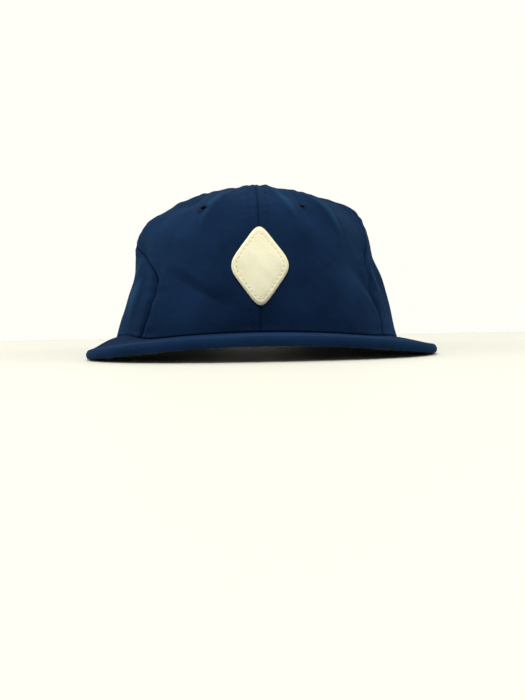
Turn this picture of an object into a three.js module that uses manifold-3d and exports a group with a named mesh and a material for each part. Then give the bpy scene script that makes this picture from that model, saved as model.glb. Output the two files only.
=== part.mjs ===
// A soft six-panel cap with a flat visor, an arch at the back and a leather strap across it.
// It stands on its rim and on the two sides of its visor, as it would on a table.
// Millimetres, +Z up, visor towards -Y. The pieces are worked out from an upright line through the crown's
// top. At the end all are moved together, so that the origin is under the middle of the cap, on the table.
import * as THREE from "three";
import { mergeVertices } from "three/addons/utils/BufferGeometryUtils.js";
import Module from "manifold-3d";

const wasm = await Module();
wasm.setup();

// Crown, measured from the upright line through its top.
const crownHeight = 107; // table to where the sides would meet, a little above the top's flat middle
const crownHalfWidth = 94.5; // to the rim at the side
const crownFront = 94; // to the rim above the visor
const crownBack = 96; // to the fullest place of the back
const clothWall = 1.6;
const topHoleRadius = 3; // where the six points meet under the button
const clothRun = 1.5; // length of cloth from rim to top, as a share of crownHeight
const foldsFrom = 0.1; // rise where folds are whole, from none at the rim
const foldsTo = 0.88; // rise where they begin to fade
const foldsGone = 0.98;
const levelRim = 0.12; // rise up to which the wall's thickness turns level towards the rim
const seamDip = 0.5; // how far a panel's edge turns in
const seamShoulder = 2.6; // how far from the seam it is level again

// Visor.
const visorReach = 68; // crown's front to visor's edge
const visorHalfWidth = 93.5;
const visorWidestAt = 100; // how far in front of the crown's middle it is widest
const visorSweep = 57; // degrees from the front to each end of its seam
const visorArch = 7.3; // rise of its middle above its two sides
const visorLeftRise = 4.4; // how far its ends lie above that arch at the crown
const visorRightRise = 1.2;
const visorRiseFrom = 60; // how far out they begin to rise
const rimFallFrom = 5; // degrees past the visor's end where the rim begins to come down to the table
const rimFallTo = 15;
const visorBoard = 4; // stiffener with its upper cloth
const visorUnderCloth = 0.9;
const visorEdgeRound = 2;
const visorSquareness = 2.3; // 2 is an ellipse

// Arch, strap and sweatband.
const archHalfWidth = 40;
const archHeight = 46;
const archStraight = 14; // height of the upright sides
const strapWidth = 18;
const strapWall = 1.6;
const strapHeight = 4; // table to its lower edge
const strapHidden = 20; // length of each end behind the panels
const tabWidth = 23;
const tabWall = 2.2;
const tabHeight = 1; // table to its lower edge
const tabShown = 13; // how far it reaches into the arch
const tabHidden = 10;
const tabCorner = 5;
const bandWidth = 28;
const bandWall = 1.2;
const bandFloorGap = 0.5; // table to its lower edge
const bandEndGap = 2; // band to tab, and band to arch
const bandAir = 1.6; // between the panels and the band
const strapAir = 0.6; // between the panels and the strap

// Trim.
const buttonRadius = 7;
const buttonDome = 2.6;
const stemRadius = 2.4;
const stemLength = 2.4;
const eyeletHole = 1.5;
const eyeletRadius = 4;
const eyeletProud = 0.7;
const patchHalfWidth = 18;
const patchHalfHeight = 25;
const patchHeight = 49; // table to its middle
const patchWall = 1.5;
const patchSquareness = 5; // 2 is an ellipse, more has sharper corners
const pieceGap = 0.3; // air between two pieces

// The sizes of the mesh.
const panelColumns = 12;
const panelRows = 15;
const visorColumns = 30;
const bandColumns = 60;
const strapColumns = 22;
const tabColumns = 12;
const patchCells = 8;

// Rows of numbers as rows with named columns.
function table(columns, rows) {
  return rows.map((row) => Object.fromEntries(row.map((value, i) => [columns[i], value])));
}

// Level sections of the crown at even steps from rim to top. level is a share of crownHeight, and side, front
// and back are shares of crownHalfWidth, crownFront and crownBack. square is 2 for an ellipse.
const sections = table(["level", "side", "front", "back", "square"], [
  [0.000, 1.000, 1.000, 0.985, 2.24],
  [0.159, 0.941, 1.004, 1.000, 2.22],
  [0.318, 0.880, 0.992, 0.990, 2.20],
  [0.477, 0.830, 0.962, 0.955, 2.18],
  [0.628, 0.796, 0.905, 0.880, 2.16],
  [0.748, 0.722, 0.800, 0.765, 2.12],
  [0.838, 0.600, 0.652, 0.620, 2.08],
  [0.904, 0.456, 0.487, 0.467, 2.04],
  [0.951, 0.304, 0.322, 0.312, 2.00],
  [0.976, 0.152, 0.160, 0.156, 2.00],
  [0.978, 0.000, 0.000, 0.000, 2.00],
]);

// The four seams that wander, at even steps from rim to top, in degrees round from the front.
// The left front one is pushed forward low down and swings out at the shoulder.
const seams = table(["left", "right", "backLeft", "backRight"], [
  [45, 48.5, 121, 119],
  [42.5, 50.5, 120, 119],
  [43, 47, 119, 120],
  [67, 54, 118, 121],
  [72.5, 58, 118, 121],
  [72, 61, 119, 120],
  [67, 61, 120, 120],
  [63, 60, 120, 120],
  [60, 60, 120, 120],
]);

// Folds and dents: a line from one turn (degrees from the front, + to the right) and rise (0 rim, 1 top) to
// another. spread and lift are shares of crownHalfWidth, and a lift below 0 is a hollow.
const folds = table(["fromTurn", "fromRise", "toTurn", "toRise", "spread", "lift"], [
  [-26, 0.76, -20, 0.36, 0.045, 0.026],
  [-10, 0.58, -12, 0.95, 0.060, 0.014],
  [25, 0.76, 15, 0.42, 0.045, 0.026],
  [30, 0.68, 35, 0.32, 0.055, 0.028],
  [23, 0.68, 21, 0.40, 0.045, -0.018],
  [-36, 0.66, -32, 0.36, 0.060, -0.014],
  [0, 0.50, 0, 1.06, 0.080, 0.020],
  [11, 0.58, 13, 0.95, 0.055, 0.021],
  [38, 0.68, 31, 0.97, 0.060, -0.020],
  [-66, 0.28, -72, 0.56, 0.200, 0.029],
  [-58, 0.46, -36, 0.80, 0.130, -0.034],
  [70, 0.36, 56, 0.67, 0.150, 0.032],
  [-36, 0.10, -6, 0.06, 0.100, -0.012],
  [-38, 0.26, -9, 0.09, 0.085, -0.028],
  [-44.5, 0.00, -39.5, 0.30, 0.040, -0.024],
  [-42, 0.24, -66, 0.40, 0.036, -0.022],
  [-53, 0.04, -55, 0.34, 0.075, 0.028],
  [50, 0.04, 48.5, 0.36, 0.036, -0.022],
  [66, 0.05, 58, 0.38, 0.070, 0.022],
  [34, 0.30, 54, 0.10, 0.050, -0.014],
  [-104, 0.14, -98, 0.66, 0.110, -0.020],
  [100, 0.10, 96, 0.58, 0.110, -0.020],
  [-150, 0.40, -112, 0.58, 0.080, -0.022],
  [146, 0.44, 110, 0.56, 0.080, -0.020],
  [-168, 0.52, 168, 0.56, 0.090, -0.018],
]);

const eyelets = table(["name", "turn", "rise"], [
  ["front_left", -23.5, 0.49],
  ["front_right", 21.5, 0.525],
  ["side_left", -98, 0.53],
  ["side_right", 92, 0.53],
  ["back_left", -150, 0.53],
  ["back_right", 150, 0.53],
]);

const radians = Math.PI / 180;
const visorStack = visorBoard + pieceGap + visorUnderCloth;
const visorFoot = visorHalfWidth - visorEdgeRound; // where its under cloth meets the table

// 0 at from and 1 at to, level at both. from may be the larger one.
function smoothStep(from, to, value) {
  const share = Math.min(1, Math.max(0, (value - from) / (to - from)));
  return share * share * (3 - 2 * share);
}

// The smooth curve through a column of evenly spaced rows.
function columnAt(rows, column, share) {
  const last = rows.length - 1;
  const place = Math.min(last, Math.max(0, share * last));
  const i = Math.min(last - 1, Math.floor(place));
  const t = place - i;
  const [a, b, c, d] = [i - 1, i, i + 1, i + 2].map((k) => rows[Math.min(last, Math.max(0, k))][column]);
  return b + 0.5 * t * (c - a + t * (2 * a - 5 * b + 4 * c - d + t * (3 * (b - c) + d - a)));
}

// The turn folded into -180 to 180 degrees.
function foldedTurn(turn) {
  return ((((turn + 180) % 360) + 360) % 360) - 180;
}

// Horizontal outline of the crown at a rise: a point on a superellipse in the direction of the turn.
function outlineAt(turn, rise) {
  const sine = Math.sin(turn * radians);
  const cosine = Math.cos(turn * radians);
  const side = crownHalfWidth * columnAt(sections, "side", rise);
  const reach =
    cosine > 0
      ? crownFront * columnAt(sections, "front", rise)
      : crownBack * columnAt(sections, "back", rise);
  const power = columnAt(sections, "square", rise);
  const across = Math.abs(sine / Math.max(side, 1e-6)) ** power;
  const along = Math.abs(cosine / Math.max(reach, 1e-6)) ** power;
  const radius = (across + along) ** (-1 / power);
  return new THREE.Vector3(radius * sine, -radius * cosine, 0);
}

// Height of the visor's under side above the table: an arch across it, and a rise towards its two ends.
function visorLift({ x, y }) {
  const end = outlineAt(visorSweep, 0);
  const rise = x < 0 ? visorLeftRise : visorRightRise;
  const towardsEnd = smoothStep(visorRiseFrom, end.x, Math.abs(x)) * smoothStep(-visorWidestAt, end.y, y);
  return visorArch * Math.max(0, 1 - (x / visorFoot) ** 2) + rise * towardsEnd;
}

// Height of the crown's rim: on top of the visor in front, and down on the table from the temples back.
function rimHeight(turn) {
  const onVisor = visorLift(outlineAt(turn, 0)) + visorStack + pieceGap;
  const pastVisor = Math.abs(foldedTurn(turn)) - visorSweep;
  return onVisor * (1 - smoothStep(rimFallFrom, rimFallTo, pastVisor));
}

// The crown without its folds. What the rim is lifted by dies away upwards.
function plainSkin(turn, rise) {
  const point = outlineAt(turn, rise);
  point.z = crownHeight * columnAt(sections, "level", rise) + rimHeight(turn) * (1 - rise) ** 2;
  return point;
}

// How far the folds lift the cloth: a rounded ridge or hollow along each fold's line.
function foldLift(turn, rise) {
  let lift = 0;
  for (const fold of folds) {
    const span = fold.toRise - fold.fromRise;
    const sweep = foldedTurn(fold.toTurn - fold.fromTurn);
    const reach = outlineAt(fold.fromTurn, Math.min(0.95, fold.fromRise)).length() * radians;
    const length = crownHeight * clothRun;
    const alongTurn = foldedTurn(turn - fold.fromTurn) * reach;
    const alongRise = (rise - fold.fromRise) * length;
    const [u, v] = [sweep * reach, span * length];
    const share = (alongTurn * u + alongRise * v) / (u * u + v * v);
    const across = (alongTurn * v - alongRise * u) / Math.hypot(u, v) / (fold.spread * crownHalfWidth);
    const end = Math.min(1, Math.max(0, share));
    lift += fold.lift * crownHalfWidth * Math.sin(Math.PI * end) ** 1.2 * Math.exp(-across * across);
  }
  return lift;
}

// Outward normal of the crown, made level at the rim so that the rim's cut edge is flat.
function skinNormal(turn, rise) {
  const step = 0.004;
  const low = Math.max(0, Math.min(rise, 0.985) - step);
  const high = low + 2 * step;
  const up = plainSkin(turn, high).sub(plainSkin(turn, low));
  const round = plainSkin(turn + 1, low).sub(plainSkin(turn - 1, low));
  const normal = round.cross(up).normalize();
  normal.z *= smoothStep(0, levelRim, rise);
  return normal.normalize();
}

// A point of the crown's cloth, inset below its outer face. Rim and top are kept free of folds.
function skin(turn, rise, inset = 0) {
  const lift = foldLift(turn, rise) * smoothStep(0, foldsFrom, rise) * smoothStep(foldsGone, foldsTo, rise);
  return plainSkin(turn, rise).addScaledVector(skinNormal(turn, rise), lift - inset);
}

// The rise at which a measure of the plain skin reaches a value: halves the range each time.
function riseWhere(turn, measure, value) {
  let [low, high] = [0, 1];
  for (let i = 0; i < 30; i++) {
    const middle = (low + high) / 2;
    if (measure(plainSkin(turn, middle)) < value) low = middle;
    else high = middle;
  }
  return (low + high) / 2;
}

// A point inside or outside the crown's wall at a height, straight below the rim where it is lower than that.
function wallPoint(turn, height, inset) {
  if (height > rimHeight(turn)) return skin(turn, riseWhere(turn, (p) => p.z, height), inset);
  const point = skin(turn, 0, inset);
  point.z = height;
  return point;
}

// A closed body between two grids of points, outer(i, j) and inner(i, j), with i across and j up.
function slab(columns, rows, outer, inner) {
  const positions = [];
  const faces = [];
  const at = (layer, i, j) => (layer * (rows + 1) + j) * (columns + 1) + i;
  for (const face of [outer, inner])
    for (let j = 0; j <= rows; j++)
      for (let i = 0; i <= columns; i++) positions.push(...face(i, j).toArray());
  const quad = (a, b, c, d) => faces.push(a, b, c, a, c, d);
  for (let j = 0; j < rows; j++)
    for (let i = 0; i < columns; i++) {
      quad(at(0, i, j), at(0, i + 1, j), at(0, i + 1, j + 1), at(0, i, j + 1));
      quad(at(1, i, j), at(1, i, j + 1), at(1, i + 1, j + 1), at(1, i + 1, j));
    }
  for (let i = 0; i < columns; i++) {
    quad(at(1, i, 0), at(1, i + 1, 0), at(0, i + 1, 0), at(0, i, 0));
    quad(at(0, i, rows), at(0, i + 1, rows), at(1, i + 1, rows), at(1, i, rows));
  }
  for (let j = 0; j < rows; j++) {
    quad(at(0, 0, j), at(0, 0, j + 1), at(1, 0, j + 1), at(1, 0, j));
    quad(at(1, columns, j), at(1, columns, j + 1), at(0, columns, j + 1), at(0, columns, j));
  }
  const geometry = new THREE.BufferGeometry();
  geometry.setAttribute("position", new THREE.Float32BufferAttribute(positions, 3));
  geometry.setIndex(faces);
  return mergeVertices(geometry, 1e-4);
}

// A geometry as a solid that can be cut.
function solidOf(geometry) {
  const bare = geometry.clone();
  bare.deleteAttribute("normal");
  bare.deleteAttribute("uv");
  const merged = mergeVertices(bare, 1e-4);
  const mesh = new wasm.Mesh({
    numProp: 3,
    vertProperties: merged.attributes.position.array,
    triVerts: new Uint32Array(merged.index.array),
  });
  return new wasm.Manifold(mesh);
}

function geometryOf(solid) {
  const mesh = solid.getMesh();
  const geometry = new THREE.BufferGeometry();
  geometry.setAttribute("position", new THREE.BufferAttribute(mesh.vertProperties, 3));
  geometry.setIndex(new THREE.BufferAttribute(mesh.triVerts, 1));
  return geometry;
}

// A tool that cuts a round hole through the wall at an eyelet.
function eyeletCutter(eyelet) {
  const radius = eyeletRadius + pieceGap;
  const cutter = new THREE.CylinderGeometry(radius, radius, 8 * clothWall, 16);
  cutter.applyQuaternion(eyeletTurn(eyelet));
  return cutter.translate(...skin(eyelet.turn, eyelet.rise).toArray());
}

// The turn that points +Y out of the cloth at an eyelet.
function eyeletTurn(eyelet) {
  const out = skinNormal(eyelet.turn, eyelet.rise);
  return new THREE.Quaternion().setFromUnitVectors(new THREE.Vector3(0, 1, 0), out);
}

// A tool that cuts the arch through the back, pointing along +Y.
function archCutter() {
  const outline = new THREE.Shape();
  outline.moveTo(-archHalfWidth, -archStraight);
  outline.lineTo(archHalfWidth, -archStraight);
  outline.lineTo(archHalfWidth, archStraight);
  outline.absellipse(0, archStraight, archHalfWidth, archHeight - archStraight, 0, Math.PI, false);
  outline.closePath();
  const options = { depth: crownBack, bevelEnabled: false, curveSegments: 14 };
  const cutter = new THREE.ExtrudeGeometry(outline, options);
  return cutter.rotateX(Math.PI / 2).translate(0, crownBack * 1.5, 0);
}

// One panel between two seams, each a function of the rise that gives a turn in degrees.
function panel(fromSeam, toSeam, cutters) {
  const gapTurn = (turn, rise) => pieceGap / 2 / outlineAt(turn, rise).length() / radians;
  const place = (i, j) => {
    const topRise = riseWhere(fromSeam(1), (p) => -Math.hypot(p.x, p.y), -topHoleRadius);
    const rise = (topRise * j) / panelRows;
    const [from, to] = [fromSeam(rise), toSeam(rise)];
    const [start, end] = [from + gapTurn(from, rise), to - gapTurn(to, rise)];
    const arc = (end - start) * radians * outlineAt((start + end) / 2, rise).length();
    const shoulder = Math.min(seamShoulder / arc, 1 / panelColumns);
    const inner = (i - 1) / (panelColumns - 2);
    const share = i === 0 ? 0 : i === panelColumns ? 1 : shoulder + inner * (1 - 2 * shoulder);
    return [start + share * (end - start), rise];
  };
  const dip = (i) => (i === 0 || i === panelColumns ? seamDip : 0);
  const cloth = slab(
    panelColumns,
    panelRows,
    (i, j) => skin(...place(i, j), dip(i)),
    (i, j) => skin(...place(i, j), clothWall),
  );
  const cut = (solid, cutter) => solid.subtract(solidOf(cutter));
  return geometryOf(cutters.reduce(cut, solidOf(cloth)));
}

// The visor's outer edge in plan, from -1 at its left end over 0 in front to 1 at its right end.
function visorEdge(share) {
  const frontShare = 0.72; // of the half edge, from the front to the widest place
  const q = Math.abs(share);
  const side = Math.sign(share);
  const end = outlineAt(visorSweep + 1, 0);
  if (q > frontShare) {
    const p = (q - frontShare) / (1 - frontShare);
    const x = visorHalfWidth - (visorHalfWidth - end.x) * p * p;
    return new THREE.Vector3(side * x, -visorWidestAt + (visorWidestAt + end.y) * p, 0);
  }
  const angle = (q / frontShare) * (Math.PI / 2);
  const depth = crownFront + visorReach - visorWidestAt;
  const x = visorHalfWidth * Math.sin(angle) ** (2 / visorSquareness);
  const y = -visorWidestAt - depth * Math.cos(angle) ** (2 / visorSquareness);
  return new THREE.Vector3(side * x, y, 0);
}

// One layer of the visor. rows are places from its seam to its edge, as {share, fromEdge}, and floor and
// roof give the layer's lower and upper face above the visor's under side at a distance from the edge.
function visorLayer(rows, floor, roof) {
  const place = (i, j, height) => {
    const share = (2 * i) / visorColumns - 1;
    const rear = skin(share * visorSweep, 0, clothWall);
    const edge = visorEdge(share);
    rear.z = edge.z = 0;
    const length = rear.distanceTo(edge);
    const along = Math.min(rows[j].share, 1 - rows[j].fromEdge / length);
    const point = rear.lerp(edge, Math.max(0, along));
    point.z = visorLift(point) + height((1 - Math.max(0, along)) * length);
    return point;
  };
  return slab(visorColumns, rows.length - 1, (i, j) => place(i, j, floor), (i, j) => place(i, j, roof));
}

const visorRows = table(["share", "fromEdge"], [
  [0, 0],
  [0.25, visorEdgeRound],
  [0.5, visorEdgeRound],
  [0.75, visorEdgeRound],
  [1, visorEdgeRound],
]);
const visorNose = table(["share", "fromEdge"], [
  [1, visorEdgeRound * 0.3],
  [1, 0],
]);

// The stiffened upper part: flat faces, and a round nose at its edge.
function visorBody() {
  const middle = visorUnderCloth + pieceGap + visorBoard / 2;
  const half = (fromEdge) => {
    const short = 1 - Math.min(1, fromEdge / visorEdgeRound);
    return (visorBoard / 2) * Math.sqrt(Math.max(0.01, 1 - short * short));
  };
  const rows = [...visorRows, ...visorNose];
  return visorLayer(rows, (d) => middle - half(d), (d) => middle + half(d));
}

function visorUnderside() {
  return visorLayer(visorRows, () => 0, () => visorUnderCloth);
}

// The arch's side and the ends of strap, tab and band as turns from the back, in degrees.
function backTurn(fromMiddle) {
  return Math.asin(Math.min(0.95, fromMiddle / crownBack)) / radians;
}
const strapEnd = backTurn(archHalfWidth + strapHidden);
const tabEnd = backTurn(archHalfWidth - tabShown);
const tabStart = backTurn(archHalfWidth + tabHidden);
const bandLeftEnd = backTurn(archHalfWidth + tabHidden + bandEndGap);
const bandRightEnd = backTurn(archHalfWidth + bandEndGap);
const strapInset = clothWall + strapAir;
const tabInset = strapInset + strapWall + pieceGap;

// A strip along the wall between two turns. Its lower and upper edge are heights at a turn and at a share of
// its length.
function strip(columns, rows, fromTurn, toTurn, lower, upper, inset, wall) {
  const place = (i, j, depth) => {
    const share = i / columns;
    const turn = fromTurn + (toTurn - fromTurn) * share;
    const height = lower(turn, share) + ((upper(turn, share) - lower(turn, share)) * j) / rows;
    return wallPoint(turn, height, inset(turn) + depth);
  };
  return slab(columns, rows, (i, j) => place(i, j, 0), (i, j) => place(i, j, wall));
}

// The sweatband: behind the visor in front, and inside the strap's hidden ends at the back.
function sweatband() {
  const lower = (turn) => Math.max(bandFloorGap, rimHeight(turn) - visorStack - pieceGap);
  const upper = (turn) => rimHeight(turn) + bandWidth;
  const behindStrap = (turn) => {
    const fromBack = 180 - Math.abs(foldedTurn(turn));
    return 1 - smoothStep(strapEnd + 2, strapEnd + 12, fromBack);
  };
  const inset = (turn) => clothWall + bandAir + strapWall * behindStrap(turn);
  return strip(bandColumns, 3, bandLeftEnd - 180, 180 - bandRightEnd, lower, upper, inset, bandWall);
}

function strap() {
  const lower = () => strapHeight;
  const upper = () => strapHeight + strapWidth;
  return strip(strapColumns, 2, 180 - strapEnd, 180 + strapEnd, lower, upper, () => strapInset, strapWall);
}

// The cloth tab, sewn behind the left panel, with its free corners rounded.
function strapTab() {
  const corner = (share) => {
    const length = ((tabStart - tabEnd) * radians * crownBack) / tabCorner;
    const fromEnd = Math.min(1, share * length);
    return tabCorner * (1 - Math.sqrt(1 - (1 - fromEnd) ** 2));
  };
  const lower = (turn, share) => tabHeight + corner(share);
  const upper = (turn, share) => tabHeight + tabWidth - corner(share);
  return strip(tabColumns, 2, 180 + tabEnd, 180 + tabStart, lower, upper, () => tabInset, tabWall);
}

// The button, a dome on a stem through the hole where the panels meet.
function button() {
  const profile = [new THREE.Vector2(0, -stemLength), new THREE.Vector2(stemRadius, -stemLength)];
  profile.push(new THREE.Vector2(stemRadius, pieceGap), new THREE.Vector2(buttonRadius, pieceGap));
  const steps = 6;
  for (let i = 1; i <= steps; i++) {
    const angle = (i / steps) * (Math.PI / 2);
    const radius = i === steps ? 0 : buttonRadius * Math.cos(angle) ** 0.7;
    profile.push(new THREE.Vector2(radius, pieceGap + buttonDome * Math.sin(angle)));
  }
  return new THREE.LatheGeometry(profile, 20).rotateX(Math.PI / 2);
}

// A sewn eyelet: a ring of thread through the cloth, standing a little proud of it.
function eyeletRing() {
  const profile = [
    [eyeletHole, -clothWall],
    [eyeletRadius, -clothWall],
    [eyeletRadius, eyeletProud * 0.4],
    [eyeletRadius * 0.85, eyeletProud],
    [eyeletHole * 1.4, eyeletProud],
    [eyeletHole, eyeletProud * 0.4],
    [eyeletHole, -clothWall],
  ];
  return new THREE.LatheGeometry(profile.map(([x, y]) => new THREE.Vector2(x, y)), 14);
}

// The felt diamond on the front: a square grid with its corners drawn in, turned on a corner and laid on
// the cloth.
function patch() {
  const squareness = patchSquareness;
  const place = (i, j, inset) => {
    const [across, up] = [(2 * i) / patchCells - 1, (2 * j) / patchCells - 1];
    const corner = (Math.abs(across) ** squareness + Math.abs(up) ** squareness) ** (1 / squareness);
    const pull = Math.max(Math.abs(across), Math.abs(up)) / Math.max(corner, 1e-6);
    const [g, h] = [across * pull, up * pull];
    const height = patchHeight + ((h + g) / 2) * patchHalfHeight;
    const radius = outlineAt(0, riseWhere(0, (p) => p.z, height)).length();
    const turn = ((g - h) / 2) * (patchHalfWidth / radius / radians);
    return wallPoint(turn, height, inset);
  };
  const outer = (i, j) => place(i, j, -pieceGap - patchWall);
  return slab(patchCells, patchCells, outer, (i, j) => place(i, j, -pieceGap));
}

const clothColour = 0x15294a;
const navyCloth = new THREE.MeshStandardMaterial({ color: clothColour, roughness: 0.95, metalness: 0 });
const underCloth = new THREE.MeshStandardMaterial({ color: 0x252f2f, roughness: 0.8, metalness: 0 });
const brownLeather = new THREE.MeshStandardMaterial({ color: 0x2a1c15, roughness: 0.55, metalness: 0 });
const creamFelt = new THREE.MeshStandardMaterial({ color: 0xe9e2c0, roughness: 1, metalness: 0 });

const cap = new THREE.Group();

function add(name, geometry, material) {
  const mesh = new THREE.Mesh(geometry, material);
  mesh.name = name;
  cap.add(mesh);
  return mesh;
}

const seam = (column, sign) => (rise) => sign * columnAt(seams, column, rise);
const panelSeams = {
  front_left: [seam("left", -1), () => 0],
  front_right: [() => 0, seam("right", 1)],
  side_left: [seam("backLeft", -1), seam("left", -1)],
  side_right: [seam("right", 1), seam("backRight", 1)],
  back_left: [() => -180, seam("backLeft", -1)],
  back_right: [seam("backRight", 1), () => 180],
};
for (const eyelet of eyelets) {
  const cutters = [eyeletCutter(eyelet)];
  if (eyelet.name.startsWith("back")) cutters.push(archCutter());
  add("panel_" + eyelet.name, panel(...panelSeams[eyelet.name], cutters), navyCloth);
  const ring = add("eyelet_" + eyelet.name, eyeletRing(), navyCloth);
  ring.quaternion.copy(eyeletTurn(eyelet));
  ring.position.copy(skin(eyelet.turn, eyelet.rise));
}
add("visor", visorBody(), navyCloth);
add("visor_underside", visorUnderside(), underCloth);
add("sweatband", sweatband(), brownLeather);
add("back_strap", strap(), brownLeather);
add("strap_tab", strapTab(), navyCloth);
add("front_patch", patch(), creamFelt);
add("top_button", button(), navyCloth).position.z = plainSkin(0, 1).z;

const extent = new THREE.Box3().setFromObject(cap);
cap.position.y = -extent.getCenter(new THREE.Vector3()).y;

export default cap;
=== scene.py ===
# The looks of a soft six-panel cap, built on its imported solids.
# Metres, +Z up, visor towards -Y. Turns are degrees round from the front, + to the right, and a rise is 0 at
# the crown's rim and 1 at its top.
import math

import bpy
import numpy as np
from mathutils import Matrix, Vector


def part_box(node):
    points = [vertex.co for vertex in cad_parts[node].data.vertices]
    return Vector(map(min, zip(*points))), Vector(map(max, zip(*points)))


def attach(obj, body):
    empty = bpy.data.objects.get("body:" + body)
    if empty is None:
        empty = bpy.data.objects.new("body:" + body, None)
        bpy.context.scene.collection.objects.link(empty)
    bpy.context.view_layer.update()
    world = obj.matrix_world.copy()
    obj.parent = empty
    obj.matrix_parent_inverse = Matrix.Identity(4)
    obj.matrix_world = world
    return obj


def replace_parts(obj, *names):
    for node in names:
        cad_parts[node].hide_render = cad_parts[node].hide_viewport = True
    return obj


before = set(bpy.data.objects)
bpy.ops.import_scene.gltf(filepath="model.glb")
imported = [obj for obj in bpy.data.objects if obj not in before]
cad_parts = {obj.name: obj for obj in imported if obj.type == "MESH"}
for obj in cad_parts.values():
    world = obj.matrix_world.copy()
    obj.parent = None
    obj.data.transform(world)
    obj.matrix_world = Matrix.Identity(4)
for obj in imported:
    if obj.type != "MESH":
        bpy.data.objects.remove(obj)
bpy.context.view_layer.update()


def table(columns, rows):  # rows of numbers as one array for each named column
    return {name: np.array(values, float) for name, values in zip(columns, zip(*rows))}


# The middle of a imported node's box: half the sum of its two corners.
def boxMiddle(node):
    low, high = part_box(node)
    return (low + high) / 2


# Crown
crownMiddleY = boxMiddle("top_button").y
crownHeight = 0.107
crownHalfWidth = 0.0945
crownFront = 0.094
crownBack = 0.096
clothWall = 0.0016
topHoleRadius = 0.003
clothRun = 1.5  # length of cloth from rim to top, as a share of crownHeight
clothLength = 0.15  # the same in its maps and its waves
foldsFrom = 0.1  # rise where folds are whole, from none at the rim
foldsTo = 0.88  # rise where they begin to fade
foldsGone = 0.98
foldRounding = 1.2  # power of the half sine along a fold
foldReachRise = 0.95  # highest rise whose outline measures a fold
seamsTo = 0.9  # rise where seams begin to fade
seamsGone = 0.995
levelRim = 0.12  # rise up to which the wall's thickness turns level towards the rim
normalStep = 0.004  # how far up and down the slope of the cloth is felt
normalTop = 0.985
seamGap = 0.00006  # between two panels

# Visor
visorReach = 0.068
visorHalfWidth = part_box("visor")[1].x
visorWidestAt = 0.100
visorSweep = 57
visorArch = 0.0073
visorLeftRise = 0.0044
visorRightRise = 0.0012
visorRiseFrom = 0.060
rimFallFrom = 5
rimFallTo = 15
visorBoard = 0.004
visorUnderCloth = 0.0009
visorEdgeRound = 0.002
visorSquareness = 2.3

# Arch, strap and band
archHalfWidth = 0.040
archHeight = 0.046
archStraight = 0.014
strapWidth = 0.018
strapWall = 0.0016
strapHeight = 0.004
strapHidden = 0.020
tabWidth = 0.023
tabWall = 0.0022
tabHeight = 0.001
tabShown = 0.013
tabHidden = 0.010
tabCorner = 0.005
bandWidth = 0.028
bandWall = 0.0012
bandFloorGap = 0.0005
bandEndGap = 0.002
bandAir = 0.0016
strapAir = 0.0006

# Trim
buttonRadius = 0.007
buttonDome = 0.0026
patchHalfWidth = 0.018
patchHalfHeight = 0.025
patchHeight = 0.049
patchWall = 0.0015
patchSquareness = 5
pieceGap = 0.0003  # air between two pieces

sections = table(["level", "side", "front", "back", "square"], [
    [0.000, 1.000, 1.000, 0.985, 2.24],
    [0.159, 0.941, 1.004, 1.000, 2.22],
    [0.318, 0.880, 0.992, 0.990, 2.20],
    [0.477, 0.830, 0.962, 0.955, 2.18],
    [0.628, 0.796, 0.905, 0.880, 2.16],
    [0.748, 0.722, 0.800, 0.765, 2.12],
    [0.838, 0.600, 0.652, 0.620, 2.08],
    [0.904, 0.456, 0.487, 0.467, 2.04],
    [0.951, 0.304, 0.322, 0.312, 2.00],
    [0.976, 0.152, 0.160, 0.156, 2.00],
    [0.978, 0.000, 0.000, 0.000, 2.00],
])

seams = table(["left", "right", "backLeft", "backRight"], [
    [45, 48.5, 121, 119],
    [42.5, 50.5, 120, 119],
    [43, 47, 119, 120],
    [67, 54, 118, 121],
    [72.5, 58, 118, 121],
    [72, 61, 119, 120],
    [67, 61, 120, 120],
    [63, 60, 120, 120],
    [60, 60, 120, 120],
])

folds = table(["fromTurn", "fromRise", "toTurn", "toRise", "spread", "lift"], [
    [-26, 0.76, -20, 0.36, 0.045, 0.026],
    [-10, 0.58, -12, 0.95, 0.060, 0.014],
    [25, 0.76, 15, 0.42, 0.045, 0.026],
    [30, 0.68, 35, 0.32, 0.055, 0.028],
    [23, 0.68, 21, 0.40, 0.045, -0.018],
    [-36, 0.66, -32, 0.36, 0.060, -0.014],
    [0, 0.50, 0, 1.06, 0.080, 0.020],
    [11, 0.58, 13, 0.95, 0.055, 0.021],
    [38, 0.68, 31, 0.97, 0.060, -0.020],
    [-66, 0.28, -72, 0.56, 0.200, 0.029],
    [-58, 0.46, -36, 0.80, 0.130, -0.034],
    [70, 0.36, 56, 0.67, 0.150, 0.032],
    [-36, 0.10, -6, 0.06, 0.100, -0.012],
    [-38, 0.26, -9, 0.09, 0.085, -0.028],
    [-44.5, 0.00, -39.5, 0.30, 0.040, -0.024],
    [-42, 0.24, -66, 0.40, 0.036, -0.022],
    [-53, 0.04, -55, 0.34, 0.075, 0.028],
    [50, 0.04, 48.5, 0.36, 0.036, -0.022],
    [66, 0.05, 58, 0.38, 0.070, 0.022],
    [34, 0.30, 54, 0.10, 0.050, -0.014],
    [-104, 0.14, -98, 0.66, 0.110, -0.020],
    [100, 0.10, 96, 0.58, 0.110, -0.020],
    [-150, 0.40, -112, 0.58, 0.080, -0.022],
    [146, 0.44, 110, 0.56, 0.080, -0.020],
    [-168, 0.52, 168, 0.56, 0.090, -0.018],
])

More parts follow.
